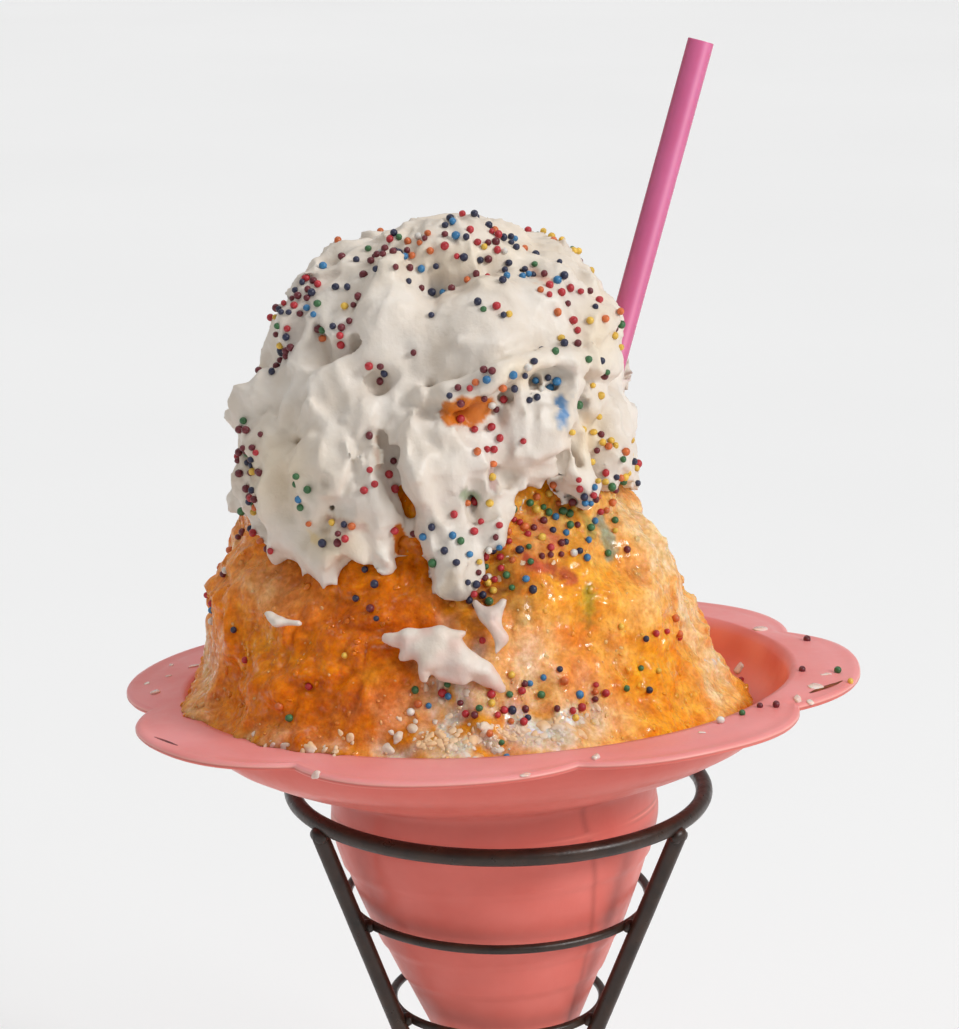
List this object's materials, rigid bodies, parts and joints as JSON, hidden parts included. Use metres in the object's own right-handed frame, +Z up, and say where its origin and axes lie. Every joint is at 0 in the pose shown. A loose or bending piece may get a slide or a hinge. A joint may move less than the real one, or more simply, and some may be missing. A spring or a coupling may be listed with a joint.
{
  "type": "shaved ice dessert",
  "caption": "Heap of syrup-soaked shaved ice under whipped cream and sprinkles, in a flower-rimmed cup with a straw, held upright by a wire cone stand.",
  "frame": {"origin": "on the ground under the centre of the whole dessert's bounding box", "axes": "+Z up, +X to the right of the front view, the front faces -Y"},
  "size_m": [0.1504, 0.1498, 0.2804],
  "materials": {
    "coated_wire": "dark brown satin coating",
    "pink_plastic": "translucent pink moulded plastic",
    "syrup_ice": "wet, granular, orange syrup",
    "whipped_cream": "soft satin, off-white",
    "straw_plastic": "glossy magenta-pink"
  },
  "bodies": {
    "root": {"stand_top_ring": "coated_wire", "stand_middle_ring": "coated_wire", "stand_lower_ring": "coated_wire", "stand_waist_ring": "coated_wire", "stand_base_ring": "coated_wire", "stand_leg_1": "coated_wire", "stand_leg_2": "coated_wire", "stand_leg_3": "coated_wire", "flower_cup": "pink_plastic", "shaved_ice": "syrup_ice", "whipped_cream": "whipped_cream", "cream_smear_front": "whipped_cream", "cream_smear_drip": "whipped_cream", "cream_dab_left": "whipped_cream", "straw": "straw_plastic"}
  },
  "joints": []
}
